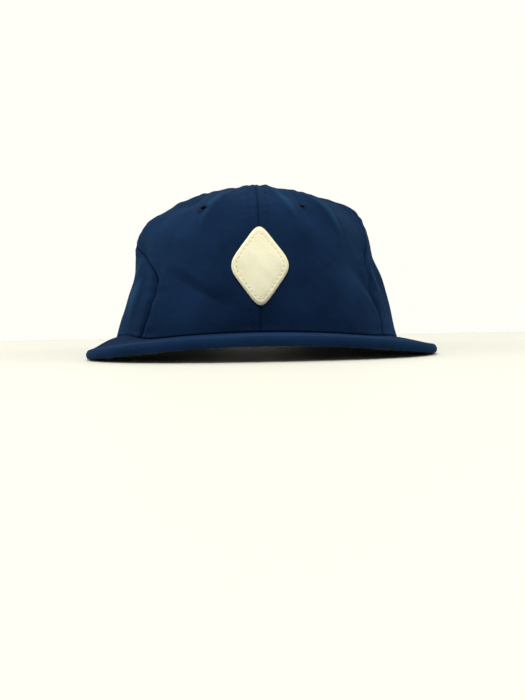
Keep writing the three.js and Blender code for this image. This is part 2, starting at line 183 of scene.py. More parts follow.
# Fine creases on the folds, measured as they are
creases = table(["fromTurn", "fromRise", "toTurn", "toRise", "spread", "lift"], [
    [-16, 0.83, -25, 0.31, 0.011, 0.010],
    [9.5, 0.82, 17, 0.33, 0.012, 0.010],
    [28.5, 0.71, 35, 0.29, 0.013, 0.010],
    [22, 0.68, 21, 0.42, 0.014, -0.008],
    [-54.5, 0.03, -49.5, 0.26, 0.034, 0.013],
    [-39, 0.27, -10, 0.09, 0.018, -0.008],
    [-38, 0.31, -12, 0.14, 0.022, 0.007],
    [45, 0.33, 62, 0.10, 0.020, 0.008],
    [-50, 0.72, -38, 0.46, 0.016, -0.008],
    [52, 0.36, 55, 0.08, 0.016, 0.007],
])

visorStack = visorBoard + pieceGap + visorUnderCloth
visorFoot = visorHalfWidth - visorEdgeRound
print("sizes ready")


# 0 at low and 1 at high, level at both. low may be the larger one.
def smoothStep(low, high, value):
    share = np.clip((value - low) / (high - low), 0, 1)
    return share * share * (3 - 2 * share)


# A rounded bump 1 high at 0 and gone at about 2.
def bump(value):
    return np.exp(-value * value)


# The smooth curve through evenly spaced values (Catmull-Rom).
def curveAt(values, share):
    last = len(values) - 1
    place = np.clip(share, 0, 1) * last
    i = np.minimum(place.astype(int), last - 1)
    t = place - i
    a, b, c, d = (values[np.clip(i + k, 0, last)] for k in (-1, 0, 1, 2))
    return b + 0.5 * t * (c - a + t * (2 * a - 5 * b + 4 * c - d + t * (3 * (b - c) + d - a)))


# The turn brought into -180 to 180 degrees by taking off whole circles.
def foldedTurn(turn):
    return (turn + 180) % 360 - 180


# Distance from the crown's upright line to its outline: a superellipse in polar form.
def outlineRadius(turn, rise):
    sine = np.sin(np.radians(turn))
    cosine = np.cos(np.radians(turn))
    side = crownHalfWidth * curveAt(sections["side"], rise)
    front = crownFront * curveAt(sections["front"], rise)
    back = crownBack * curveAt(sections["back"], rise)
    reach = np.where(cosine > 0, front, back)
    power = curveAt(sections["square"], rise)
    across = np.abs(sine / np.maximum(side, 1e-9)) ** power
    along = np.abs(cosine / np.maximum(reach, 1e-9)) ** power
    return (across + along) ** (-1 / power)


# Height of the visor's under side: an arch across it, and a rise towards its two ends. y is from the crown's
# middle.
def visorLift(x, y):
    endRadius = outlineRadius(np.array(float(visorSweep)), np.array(0.0))
    endX = endRadius * math.sin(math.radians(visorSweep))
    endY = -endRadius * math.cos(math.radians(visorSweep))
    towardsEnd = smoothStep(visorRiseFrom, endX, np.abs(x)) * smoothStep(-visorWidestAt, endY, y)
    rise = np.where(x < 0, visorLeftRise, visorRightRise)
    return visorArch * np.maximum(0, 1 - (x / visorFoot) ** 2) + rise * towardsEnd


# Height of the rim: on the visor in front and down on the table from the temples back.
def rimHeight(turn):
    radius = outlineRadius(turn, np.zeros_like(turn))
    lift = visorLift(radius * np.sin(np.radians(turn)), -radius * np.cos(np.radians(turn)))
    onVisor = lift + visorStack + pieceGap
    return onVisor * (1 - smoothStep(rimFallFrom, rimFallTo, np.abs(foldedTurn(turn)) - visorSweep))


# The crown without its folds: its outline at the section's height. What the rim is lifted by dies away
# upwards with the square of what is left of the rise.
def plainSkin(turn, rise):
    radius = outlineRadius(turn, rise)
    x = radius * np.sin(np.radians(turn))
    y = crownMiddleY - radius * np.cos(np.radians(turn))
    z = crownHeight * curveAt(sections["level"], rise) + rimHeight(turn) * (1 - rise) ** 2
    return np.stack([x, y, z], -1)


# How far folds lift the cloth: half a sine along each fold's line, and a bell curve across it.
def foldLift(turn, rise, lines=folds):
    lift = np.zeros_like(turn)
    for i in range(len(lines["lift"])):
        fromTurn, fromRise, toTurn, toRise, spread, height = (lines[name][i] for name in lines)
        reach = outlineRadius(np.array(fromTurn), np.array(min(foldReachRise, fromRise)))
        reach = reach * math.pi / 180
        u = foldedTurn(toTurn - fromTurn) * reach
        v = (toRise - fromRise) * crownHeight * clothRun
        alongTurn = foldedTurn(turn - fromTurn) * reach
        alongRise = (rise - fromRise) * crownHeight * clothRun
        share = np.clip((alongTurn * u + alongRise * v) / (u * u + v * v), 0, 1)
        across = (alongTurn * v - alongRise * u) / math.hypot(u, v) / (spread * crownHalfWidth)
        lift += height * crownHalfWidth * np.sin(np.pi * share) ** foldRounding * bump(across)
    return lift


# Angles evenly round a circle.
def circle(count):
    return np.linspace(0, 2 * np.pi, count, endpoint=False)


# Vectors at length 1: each one divided by its length.
def unit(vectors):
    return vectors / np.maximum(np.linalg.norm(vectors, axis=-1, keepdims=True), 1e-12)


# Outward direction of the cloth: square to its slopes upwards and round, and made level at the rim.
def skinNormal(turn, rise):
    low = np.clip(np.minimum(rise, normalTop) - normalStep, 0, 1)
    high = low + 2 * normalStep
    up = plainSkin(turn, high) - plainSkin(turn, low)
    around = plainSkin(turn + 1, low) - plainSkin(turn - 1, low)
    normal = unit(np.cross(around, up))
    normal[..., 2] *= smoothStep(0, levelRim, rise)
    return unit(normal)


# Slow waves of the cloth. around and up are in radians for each millimetre, and the millimetres are 90 for a
# radian round and 150 from rim to top.
waveSpan = {"around": 90, "up": 150}
waves = table(["height", "around", "up", "shift"], [
    [0.00028, 0.115, 0.071, 1.3],
    [0.00022, 0.203, -0.127, 4.1],
    [0.00015, 0.081, 0.291, 2.2],
])
ripples = {"height": 0.00009, "around": 0.53, "up": 0.37, "shift": 0.4, "beatAround": 0.07, "beatUp": 0.19}


# Soft unevenness of hanging cloth: a sum of sines that cross at odd angles, and one that comes and goes.
def softWaves(turn, rise):
    u = np.radians(turn) * waveSpan["around"]
    v = rise * waveSpan["up"]
    lift = 0
    for height, around, up, shift in zip(*waves.values()):
        lift = lift + height * np.sin(u * around + v * up + shift)
    beat = np.sin(v * ripples["beatUp"] + u * ripples["beatAround"])
    ripple = np.sin(u * ripples["around"] + v * ripples["up"] + ripples["shift"])
    return lift + ripples["height"] * ripple * beat


seamLook = {
    "groove": 0.0014, "grooveWidth": 0.0011,
    "stitchAt": 0.0052, "stitchDip": 0.00042, "stitchWidth": 0.0010,
    "allowance": 0.0005, "allowanceEnd": 1.5,  # the end as a multiple of stitchAt
    "pucker": 0.00030, "puckerLength": 0.0085, "puckerWidth": 0.006,
    "wander": 1.7, "wanderPace": 0.23, "swell": 0.4, "swellPace": 0.37,
}


# What sewing does to the cloth at a distance from a seam: a groove at the seam, a low band over the turned
# edges, a dip at the top stitching, and small puckers across it.
def seamLift(distance, rise):
    look = seamLook
    along = rise * clothLength
    groove = -look["groove"] * bump(distance / look["grooveWidth"])
    bandEnd = look["stitchAt"] * look["allowanceEnd"]
    band = look["allowance"] * (1 - smoothStep(look["stitchAt"], bandEnd, distance))
    dip = -look["stitchDip"] * bump((distance - look["stitchAt"]) / look["stitchWidth"])
    phase = 2 * np.pi * along / look["puckerLength"]
    swell = 1 - look["swell"] + look["swell"] * np.sin(phase * look["swellPace"] + 1)
    ripple = np.sin(phase + look["wander"] * np.sin(phase * look["wanderPace"])) * swell
    pucker = look["pucker"] * ripple * bump((distance - look["stitchAt"]) / look["puckerWidth"])
    return groove + band + dip + pucker


# A point of the cloth: the plain skin, moved along its normal by folds, creases, waves and seam, less the
# inset. Rim and top are kept free of folds.
def skin(turn, rise, inset=0.0, seamDistance=None, seamDepth=1.0):
    turn, rise = np.broadcast_arrays(np.asarray(turn, float), np.asarray(rise, float))
    quiet = smoothStep(0, foldsFrom, rise) * smoothStep(foldsGone, foldsTo, rise)
    lift = (foldLift(turn, rise) + foldLift(turn, rise, creases) + softWaves(turn, rise)) * quiet
    if seamDistance is not None:
        lift = lift + seamDepth * seamLift(seamDistance, rise) * smoothStep(seamsGone, seamsTo, rise)
    return plainSkin(turn, rise) + skinNormal(turn, rise) * (lift - inset)[..., None]


halvings = 30


# The rise at which a measure of the plain skin reaches a value, by halving the range.
def riseWhere(turn, measure, value):
    low = np.zeros_like(turn)
    high = np.ones_like(turn)
    for _ in range(halvings):
        middle = (low + high) / 2
        under = measure(plainSkin(turn, middle)) < value
        low = np.where(under, middle, low)
        high = np.where(under, high, middle)
    return (low + high) / 2


# A point of the crown's wall at a height above the table, inset below its outer face. Below the rim it
# hangs straight down.
def wallPoint(turn, height, inset):
    turn, height, inset = np.broadcast_arrays(turn, height, inset)
    rise = riseWhere(turn, lambda p: p[..., 2], np.maximum(height, rimHeight(turn)))
    point = skin(turn, rise, inset)
    rim = rimHeight(turn)
    point[..., 2] = np.where(height > rim, point[..., 2], height)
    return point


# A mesh from a grid of points, rings x columns, and its four-sided faces. It rides the root.
def makeObject(name, points, faces, uv=None, values=None):
    mesh = bpy.data.meshes.new(name)
    flat = np.ascontiguousarray(points, np.float32).reshape(-1, 3)
    count = len(faces)
    loops = faces.astype(np.int32).ravel()
    starts = np.arange(count, dtype=np.int32) * 4
    mesh.vertices.add(len(flat))
    mesh.vertices.foreach_set("co", flat.ravel())
    mesh.loops.add(len(loops))
    mesh.loops.foreach_set("vertex_index", loops)
    mesh.polygons.add(count)
    mesh.polygons.foreach_set("loop_start", starts)
    mesh.polygons.foreach_set("use_smooth", np.ones(count, bool))
    mesh.update(calc_edges=True)
    if uv is not None:
        layer = mesh.uv_layers.new(name="cloth")
        layer.data.foreach_set("uv", uv.reshape(-1, 2)[loops].astype(np.float32).ravel())
    for key, value in (values or {}).items():
        attribute = mesh.attributes.new(key, "FLOAT", "POINT")
        attribute.data.foreach_set("value", value.astype(np.float32).ravel())
    mesh.validate()
    piece = bpy.data.objects.new(name, mesh)
    bpy.context.scene.collection.objects.link(piece)
    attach(piece, "root")
    return piece


# Faces of a grid whose rings run round a section: each point with the next ones along its column and its row.
# A joined grid also closes on itself along its columns, as a hoop does.
def ringFaces(rings, columns, joined=True):
    k = np.arange(rings)[:, None]
    i = np.arange(columns if joined else columns - 1)[None, :]
    following = (k + 1) % rings
    beside = (i + 1) % columns
    corners = np.broadcast_arrays(k * columns + i, k * columns + beside, following * columns + beside,
                                  following * columns + i)
    return np.stack(corners, -1).reshape(-1, 4)


# Faces of a shell: its rings, and at both ends faces between each ring and its opposite, the first with the
# last one and so on. If one ring stands alone at the start, the second is paired with the last one.
def shellFaces(rings, columns, alone=0):
    h = np.arange(alone, rings // 2 - 1)
    end = np.stack([h, h + 1, rings - 2 - h + alone, rings - 1 - h + alone], -1) * columns
    other = np.roll(end[:, ::-1], alone, axis=1) + columns - 1  # rolled, so a strip's ends split the same way
    return np.concatenate([ringFaces(rings, columns, False), end, other])


# An object from points and faces of any number of corners.
def plainObject(name, points, faces):
    mesh = bpy.data.meshes.new(name)
    mesh.from_pydata(points, [], faces)
    piece = bpy.data.objects.new(name, mesh)
    bpy.context.scene.collection.objects.link(piece)
    return piece


# Turns a closed piece's faces outward.
def faceOutward(piece):
    bpy.context.view_layer.objects.active = piece
    for other in bpy.context.selected_objects:
        other.select_set(False)
    piece.select_set(True)
    bpy.ops.object.mode_set(mode="EDIT")
    bpy.ops.mesh.select_all(action="SELECT")
    bpy.ops.mesh.normals_make_consistent(inside=False)
    bpy.ops.object.mode_set(mode="OBJECT")
    return piece


stitchLook = {"pitch": 0.0031, "length": 0.0023, "width": 0.00026, "height": 0.00016, "around": 6,
              "seat": 0.35, "dive": 0.75, "feel": 0.0002}
# seat is 1 where a stitch lies on the cloth, 0 where it dives into it
stitchRings = table(["along", "swell", "seat"], [
    [-1, 0.25, 0],
    [-0.82, 0.8, 1],
    [0, 1, 1],
    [0.82, 0.8, 1],
    [1, 0.25, 0],
])


# Places on a path at lengths along it: straight between its points.
def onPath(values, reached, where):
    return np.stack([np.interp(where, reached, values[:, n]) for n in range(3)], -1)


# Threads laid along paths on the cloth. Each stitch is a low capsule: its rings swell towards its middle, and
# its ends go down into the cloth.
def stitches(name, paths, look):
    rings, around = len(stitchRings["along"]), look["around"]
    angle = np.arange(around) * 2 * np.pi / around
    swell = stitchRings["swell"][None, :, None, None]
    sink = look["height"] * np.where(stitchRings["seat"] > 0, look["seat"], -look["dive"])[None, :, None]
    allPoints = []
    for path, normals in paths:
        reached = np.concatenate([[0], np.cumsum(np.linalg.norm(np.diff(path, axis=0), axis=1))])
        count = int(reached[-1] / look["pitch"])
        if count < 1:
            continue
        middles = (np.arange(count) + 0.5) * reached[-1] / count
        places = middles[:, None] + stitchRings["along"][None, :] * look["length"] / 2
        up = unit(onPath(normals, reached, places))
        ahead = onPath(path, reached, places + look["feel"]) - onPath(path, reached, places - look["feel"])
        side = unit(np.cross(unit(ahead), up))
        out = side[:, :, None] * (np.cos(angle) * look["width"])[None, None, :, None]
        lifted = up[:, :, None] * (np.sin(angle) * look["height"])[None, None, :, None]
        points = onPath(path, reached, places)[:, :, None] + (out + lifted) * swell + (up * sink)[:, :, None]
        allPoints.append(points.reshape(-1, 3))
    points = np.concatenate(allPoints)
    first = np.arange(0, len(points), rings * around)[:, None, None]
    k = np.arange(rings - 1)[None, :, None] * around
    a = np.arange(around)[None, None, :]
    b = (a + 1) % around
    quads = np.stack(np.broadcast_arrays(first + k + a, first + k + b, first + k + around + b,
                                         first + k + around + a), -1)
    return makeObject(name, points, quads.reshape(-1, 4))


# A material with an empty node tree, and that tree.
def newMaterial(name):
    material = bpy.data.materials.new(name)
    material.use_nodes = True
    tree = material.node_tree
    tree.nodes.clear()
    return material, tree


# A node with its settings. An input given as a socket is linked, and any other value is set.
def addNode(tree, kind, inputs=None, **settings):
    node = tree.nodes.new(kind)
    for key, value in settings.items():
        setattr(node, key, value)
    for key, value in (inputs or {}).items():
        if isinstance(value, bpy.types.NodeSocket):
            tree.links.new(value, node.inputs[key])
        else:
            node.inputs[key].default_value = value
    return node


# A node group with named inputs, each as label, kind and starting value, and named outputs.
def newGroup(name, inputs, outputs):
    group = bpy.data.node_groups.new(name, "ShaderNodeTree")
    for label, kind, value in inputs:
        made = group.interface.new_socket(name=label, in_out="INPUT", socket_type=kind)
        if value is not None:
            made.default_value = value
    for label, kind in outputs:
        group.interface.new_socket(name=label, in_out="OUTPUT", socket_type=kind)
    return group, addNode(group, "NodeGroupInput"), addNode(group, "NodeGroupOutput")


# Two numbers combined by a math node.
def math2(tree, operation, a, b=0.0):
    return addNode(tree, "ShaderNodeMath", {0: a, 1: b}, operation=operation).outputs[0]


# A colour from 0 to 255 as the light it stands for: the standard screen curve undone.
def linear(red, green, blue):
    def part(value):
        share = value / 255
        return share / 12.92 if share <= 0.04045 else ((share + 0.055) / 1.055) ** 2.4
    return (part(red), part(green), part(blue), 1)


# Colour a turning into b as the share goes from 0 to 1.
def mixColour(tree, share, a, b):
    return addNode(tree, "ShaderNodeMix", {0: share, 6: a, 7: b}, data_type="RGBA").outputs[2]


napLook = {"warpScale": 420.0, "warpReach": 0.0012, "clumpScale": 330.0, "fibrePart": 0.7, "clumpPart": 0.3,
           "patchScale": 34.0, "speckScale": 145.0, "speckSize": 0.055, "speckRare": 0.978}


# Wool nap: noise for fibres and clumps, looked up at places that other noise bends, soft patches where it is
# rubbed, and a few specks where a cell's middle is near and its chance is high.
def napGroup():
    look = napLook
    group, given, result = newGroup(
        "woolNap",
        [("Vector", "NodeSocketVector", None), ("Fibre", "NodeSocketFloat", 0.0006)],
        [("Height", "NodeSocketFloat"), ("Patches", "NodeSocketFloat"), ("Lint", "NodeSocketFloat")],
    )
    place = given.outputs["Vector"]
    perFibre = math2(group, "DIVIDE", 1.0, given.outputs["Fibre"])
    warp = addNode(group, "ShaderNodeTexNoise", {"Vector": place, "Scale": look["warpScale"], "Detail": 2.0})
    bent = addNode(group, "ShaderNodeVectorMath",
                   {0: warp.outputs["Color"], 3: look["warpReach"]}, operation="SCALE")
    moved = addNode(group, "ShaderNodeVectorMath", {0: place, 1: bent.outputs[0]}, operation="ADD").outputs[0]
    fibres = addNode(group, "ShaderNodeTexNoise",
                     {"Vector": moved, "Scale": perFibre, "Detail": 3.0, "Roughness": 0.6})
    clumps = addNode(group, "ShaderNodeTexNoise",
                     {"Vector": moved, "Scale": look["clumpScale"], "Detail": 2.0})
    fine = math2(group, "MULTIPLY", fibres.outputs[0], look["fibrePart"])
    coarse = math2(group, "MULTIPLY", clumps.outputs[0], look["clumpPart"])
    group.links.new(math2(group, "ADD", fine, coarse), result.inputs["Height"])
    rubbed = addNode(group, "ShaderNodeTexNoise",
                     {"Vector": place, "Scale": look["patchScale"], "Detail": 4.0, "Roughness": 0.62})
    group.links.new(rubbed.outputs[0], result.inputs["Patches"])
    specks = addNode(group, "ShaderNodeTexVoronoi", {"Vector": moved, "Scale": look["speckScale"]})
    near = math2(group, "LESS_THAN", specks.outputs["Distance"], look["speckSize"])
    chance = addNode(group, "ShaderNodeSeparateColor", {0: specks.outputs["Color"]})
    few = math2(group, "GREATER_THAN", chance.outputs[0], look["speckRare"])
    group.links.new(math2(group, "MULTIPLY", near, few), result.inputs["Lint"])
    return group


twillLook = {"rib": 0.35, "cross": 0.15, "middle": 0.5}


# Twill from a cloth map in metres: a sine across the diagonal for the ribs, and a quicker one along it.
def twillGroup():
    group, given, result = newGroup(
        "twillWeave",
        [("Map", "NodeSocketVector", None), ("Thread", "NodeSocketFloat", 0.0007)],
        [("Height", "NodeSocketFloat")],
    )
    split = addNode(group, "ShaderNodeSeparateXYZ", {0: given.outputs["Map"]})
    around = math2(group, "DIVIDE", split.outputs[0], given.outputs["Thread"])
    up = math2(group, "DIVIDE", split.outputs[1], given.outputs["Thread"])
    rib = math2(group, "SINE", math2(group, "MULTIPLY", math2(group, "ADD", around, up), math.pi))
    cross = math2(group, "SINE", math2(group, "MULTIPLY", math2(group, "SUBTRACT", around, up), 2 * math.pi))
    ribPart = math2(group, "MULTIPLY", rib, twillLook["rib"])
    height = math2(group, "ADD", ribPart, math2(group, "MULTIPLY", cross, twillLook["cross"]))
    group.links.new(math2(group, "ADD", height, twillLook["middle"]), result.inputs["Height"])
    return group


grainLook = {"pebbleScale": 1150.0, "pebbleEdge": 0.25, "pebblePart": 0.5,
             "creaseScale": 130.0, "wearScale": 22.0}


# Leather: pebbles as high as they are far from their cell's edge, noise for creases, and slow noise for wear.
def leatherGroup():
    look = grainLook
    group, given, result = newGroup(
        "leatherGrain",
        [("Vector", "NodeSocketVector", None)],
        [("Height", "NodeSocketFloat"), ("Wear", "NodeSocketFloat")],
    )
    place = given.outputs["Vector"]
    cells = addNode(group, "ShaderNodeTexVoronoi", {"Vector": place, "Scale": look["pebbleScale"]},
                    feature="DISTANCE_TO_EDGE")
    pebble = addNode(group, "ShaderNodeMapRange",
                     {0: cells.outputs["Distance"], 1: 0.0, 2: look["pebbleEdge"], 3: 0.0, 4: 1.0})
    pebbles = math2(group, "MULTIPLY", pebble.outputs[0], look["pebblePart"])
    wrinkles = addNode(group, "ShaderNodeTexNoise",
                       {"Vector": place, "Scale": look["creaseScale"], "Detail": 5.0})
    group.links.new(math2(group, "ADD", pebbles, wrinkles.outputs[0]), result.inputs["Height"])
    worn = addNode(group, "ShaderNodeTexNoise", {"Vector": place, "Scale": look["wearScale"], "Detail": 3.0})
    group.links.new(worn.outputs[0], result.inputs["Wear"])
    return group


woolNap = napGroup()
twillWeave = twillGroup()
leatherGrain = leatherGroup()


# A node that uses a group, with its inputs linked or set.
def useGroup(tree, group, inputs):
    return addNode(tree, "ShaderNodeGroup", inputs, node_tree=group)


# rubbed is the colour of a painted highlight on the folds' ridges, partly rubbed cloth, and wear is how much
# of it is mixed in.
clothLook = {"dark": (9, 23, 44), "light": (21, 44, 77), "rubbed": (44, 82, 114), "lint": (120, 132, 142),
             "roughness": 0.95, "sheen": 0.10, "sheenTint": (40, 115, 160), "weave": 0.06,
             # seam is the colour of the painted shade in the seams' grooves
             "napHeight": 0.00022, "shine": 0.03, "wear": 0.8, "seam": (6, 15, 30)}


clothBuild = {"fibre": 0.0007, "thread": 0.0008, "patchFrom": 0.3, "patchTo": 0.7, "patchPart": 0.45,
              "fibrePart": 0.55, "highlightAndRubFrom": 0.0005, "highlightAndRubTo": 0.0020, "highlightAndRubFloor": 0.25, "lintPart": 0.55,
              "relief": 0.8, "sheenRoughness": 0.55}


# Cloth: dark turning into light with its patches and fibres, a painted highlight, partly rubbed cloth, where
# folds are high, painted shade in the seams, and with specks of lint. Nap and weave together make its relief.
def clothMaterial(name, look, lintShare=1.0):
    build = clothBuild
    material, tree = newMaterial(name)
    place = addNode(tree, "ShaderNodeTexCoord")
    clothMap = addNode(tree, "ShaderNodeUVMap")
    nap = useGroup(tree, woolNap, {"Vector": place.outputs["Object"], "Fibre": build["fibre"]})
    twill = useGroup(tree, twillWeave, {"Map": clothMap.outputs[0], "Thread": build["thread"]})
    patches = addNode(tree, "ShaderNodeMapRange", {
        0: nap.outputs["Patches"], 1: build["patchFrom"], 2: build["patchTo"], 3: 0.0, 4: 1.0})
    fibreShade = math2(tree, "MULTIPLY", nap.outputs["Height"], build["fibrePart"])
    patchShade = math2(tree, "MULTIPLY", patches.outputs[0], build["patchPart"])
    share = math2(tree, "ADD", patchShade, fibreShade)
    colour = mixColour(tree, share, linear(*look["dark"]), linear(*look["light"]))
    # Painted highlight, partly rubbed cloth: a lighter colour where the ridge attribute says the folds are
    # high.
    ridge = addNode(tree, "ShaderNodeAttribute", attribute_name="ridge")
    high = addNode(tree, "ShaderNodeMapRange", {
        0: ridge.outputs["Fac"], 1: build["highlightAndRubFrom"], 2: build["highlightAndRubTo"], 3: 0.0, 4: 1.0})
    worn = math2(tree, "MULTIPLY", high.outputs[0], math2(tree, "ADD", share, build["highlightAndRubFloor"]))
    worn = math2(tree, "MULTIPLY", worn, look.get("wear", 0.0))
    colour = mixColour(tree, worn, colour, linear(*look.get("rubbed", look["light"])))
    # Painted shade in the seams' grooves, as strong as the seam attribute.
    crease = addNode(tree, "ShaderNodeAttribute", attribute_name="seam")
    colour = mixColour(tree, crease.outputs["Fac"], colour, linear(*look.get("seam", look["dark"])))
    lint = math2(tree, "MULTIPLY", nap.outputs["Lint"], build["lintPart"] * lintShare)
    colour = mixColour(tree, lint, colour, linear(*look["lint"]))
    weave = math2(tree, "MULTIPLY", twill.outputs["Height"], look["weave"])
    height = math2(tree, "ADD", nap.outputs["Height"], weave)
    relief = addNode(tree, "ShaderNodeBump", {
        "Height": height, "Distance": look["napHeight"], "Strength": build["relief"]})
    surface = addNode(tree, "ShaderNodeBsdfPrincipled", {
        "Base Color": colour, "Roughness": look["roughness"], "Normal": relief.outputs[0],
        "Sheen Weight": look["sheen"], "Sheen Roughness": build["sheenRoughness"],
        "Sheen Tint": linear(*look["sheenTint"]), "Specular IOR Level": look["shine"],
    })
    addNode(tree, "ShaderNodeOutputMaterial", {"Surface": surface.outputs[0]})
    return material


leatherLook = {"dark": (34, 21, 14), "light": (64, 39, 25), "shine": 0.3,
               "grainHeight": 0.00012, "relief": 0.7,
               "wearFrom": 0.2, "wearTo": 0.8, "smoothest": 0.42, "roughest": 0.66}


# Leather: dark turning into light, and smooth into rough, with its wear, over a pebbled relief.
def leatherMaterial():
    look = leatherLook
    material, tree = newMaterial("brownLeather")
    place = addNode(tree, "ShaderNodeTexCoord")
    grain = useGroup(tree, leatherGrain, {"Vector": place.outputs["Object"]})
    colour = mixColour(tree, grain.outputs["Wear"], linear(*look["dark"]), linear(*look["light"]))
    relief = addNode(tree, "ShaderNodeBump", {
        "Height": grain.outputs["Height"], "Distance": look["grainHeight"], "Strength": look["relief"]})
    rough = addNode(tree, "ShaderNodeMapRange", {
        0: grain.outputs["Wear"], 1: look["wearFrom"], 2: look["wearTo"],
        3: look["smoothest"], 4: look["roughest"]})
    surface = addNode(tree, "ShaderNodeBsdfPrincipled", {
        "Base Color": colour, "Roughness": rough.outputs[0], "Normal": relief.outputs[0],
        "Specular IOR Level": look["shine"]})
    addNode(tree, "ShaderNodeOutputMaterial", {"Surface": surface.outputs[0]})
    return material


feltLook = {"dark": (226, 219, 188), "light": (248, 245, 214), "lint": (255, 252, 236), "roughness": 0.97,
            "sheen": 0.1, "sheenTint": (255, 250, 235), "weave": 0.0, "napHeight": 0.0004, "shine": 0.05}
underLook = {"dark": (28, 35, 38), "light": (44, 54, 55), "lint": (90, 96, 96), "roughness": 0.7,
             "sheen": 0.05, "sheenTint": (120, 130, 130), "weave": 0.5, "napHeight": 0.00012, "shine": 0.25}
threadLook = {"dark": (10, 24, 44), "light": (20, 42, 72), "lint": (80, 96, 120), "roughness": 0.8,
              "sheen": 0.05, "sheenTint": (60, 100, 150), "weave": 0.0, "napHeight": 0.0001, "shine": 0.06}

navyWool = clothMaterial("navyWool", clothLook)
creamFelt = clothMaterial("creamFelt", feltLook, 0.4)
greenGreySatin = clothMaterial("greenGreySatin", underLook, 0.3)
navyThread = clothMaterial("navyThread", threadLook, 0.0)
# The eyelets' thread is a darker copy of the navy thread: painted shade, so that the eyelets read as dark
# dents.
eyeletThread = clothMaterial("eyeletThread", dict(threadLook, dark=(9, 22, 40), light=(17, 36, 62)), 0.0)
creamThread = clothMaterial("creamThread", dict(feltLook, napHeight=0.0001), 0.0)
brownLeather = leatherMaterial()
print("materials ready")


# Gives a piece its one material.
def wear(piece, material):
    piece.data.materials.clear()
    piece.data.materials.append(material)
    return piece


# Panels
seamColumns = {
    "front_left": (("left", -1), None),
    "front_right": (None, ("right", 1)),
    "side_left": (("backLeft", -1), ("left", -1)),
    "side_right": (("right", 1), ("backRight", 1)),
    "back_left": (None, ("backLeft", -1)),
    "back_right": (("backRight", 1), None),
}
middleTurn = {"front_left": 0, "front_right": 0, "back_left": -180, "back_right": 180}
# How deep the groove of each seam is drawn in, as a share of seamLook's, and how dark its painted shade is
seamDepths = {"left": 1.25, "right": 1.0, "backLeft": 0.6, "backRight": 0.6, "middle": 0.5}


# The turn of a panel's seam, 0 its first and 1 its second, at a rise.
def seamTurn(panel, side, rise):
    named = seamColumns[panel][side]
    if named is None:
        return np.full_like(rise, middleTurn[panel])
    return named[1] * curveAt(seams[named[0]], rise)


panelMesh = {"columns": 116, "rows": 124, "edgeRows": 4, "edgeRise": 0.8, "crowded": 0.55, "even": 0.45,
             "beyondSeam": 0.02}
panelShade = {"foldPart": 0.15, "ridgeGone": 0.88, "ridgeWhole": 0.75, "seam": 0.75, "seamWidth": 0.0007}


# A panel's points: rings go down its outside, round its rim and up its inside, with columns crowded towards
# the seams by a cosine. Also its cloth map, and how strongly painted shade darkens its seams and a painted
# highlight, partly rubbed cloth, lightens its fold ridges.
def panelPoints(panel):
    look = panelMesh
    topRise = riseWhere(np.array([0.0]), lambda p: -np.hypot(p[..., 0], p[..., 1] - crownMiddleY),
                        -topHoleRadius)[0]
    edge = clothWall / 2 / crownHeight * look["edgeRise"]
    up = edge + (topRise - edge) * np.linspace(0, 1, look["rows"])
    bend = np.linspace(0, np.pi, look["edgeRows"] + 2)[1:-1]
    rise = np.concatenate([up[::-1], edge * (1 - np.sin(bend)), up])[:, None]
    inset = np.concatenate([0 * up, clothWall * (1 - np.cos(bend)) / 2, 0 * up + clothWall])[:, None]
    even = np.linspace(0, 1, look["columns"])
    share = look["crowded"] * (0.5 - 0.5 * np.cos(np.pi * even)) + look["even"] * even
    start = seamTurn(panel, 0, rise)
    end = seamTurn(panel, 1, rise)
    radius = outlineRadius((start + end) / 2, rise)
    gap = np.degrees(seamGap / 2 / radius)
    turn = (start + gap) + (end - start - 2 * gap) * share
    arc = np.radians(end - start) * radius
    distance = np.minimum(share, 1 - share) * arc
    startDepth, endDepth = (seamDepths[named[0] if named else "middle"] for named in seamColumns[panel])
    depth = np.where(share < 0.5, startDepth, endDepth)[None, :]
    rise = rise + 0 * share
    fromSeam = np.where(inset < clothWall / 2, distance, look["beyondSeam"])
    lifted = skin(turn, rise, inset + 0 * turn, fromSeam, depth)
    uv = np.stack([share * arc, clothLength * rise], -1)
    # ridge carries the painted highlight, partly rubbed cloth, on the folds' ridges, and seam carries the
    # painted shade in the seams.
    ridge = panelShade["foldPart"] * foldLift(turn, rise) + foldLift(turn, rise, creases)
    ridge = ridge * smoothStep(panelShade["ridgeGone"], panelShade["ridgeWhole"], rise)
    seam = panelShade["seam"] * depth * bump(distance / panelShade["seamWidth"])
    return lifted, uv, {"seam": seam, "ridge": ridge}


eyelets = table(["turn", "rise"], [
    [-23.5, 0.49],
    [21.5, 0.525],
    [-98, 0.53],
    [92, 0.53],
    [-150, 0.53],
    [150, 0.53],
])
panelNames = ["front_left", "front_right", "side_left", "side_right", "back_left", "back_right"]


eyeletLook = {"hole": 0.0026, "holeSides": 40, "holeReach": 0.006,
              "threads": 26, "perThread": 6, "around": 14,
              "radius": 0.00255, "wide": 0.00098, "high": 0.00050, "sink": 0.00015,
              "strand": 0.13, "slant": 0.9}
archCut = {"sides": 72, "below": 0.02, "near": 0.04, "far": 0.15}


# Points round +Z brought to a place on the cloth, with +Z turned to its outward direction.
def onSkin(points, turn, rise):
    outward = Vector(skinNormal(np.array([turn]), np.array([rise]))[0])
    upright = Vector((0, 0, 1)).rotation_difference(outward).to_matrix().to_4x4()
    matrix = np.array(Matrix.Translation(Vector(skin(turn, rise))) @ upright)
    return points @ matrix[:3, :3].T + matrix[:3, 3]


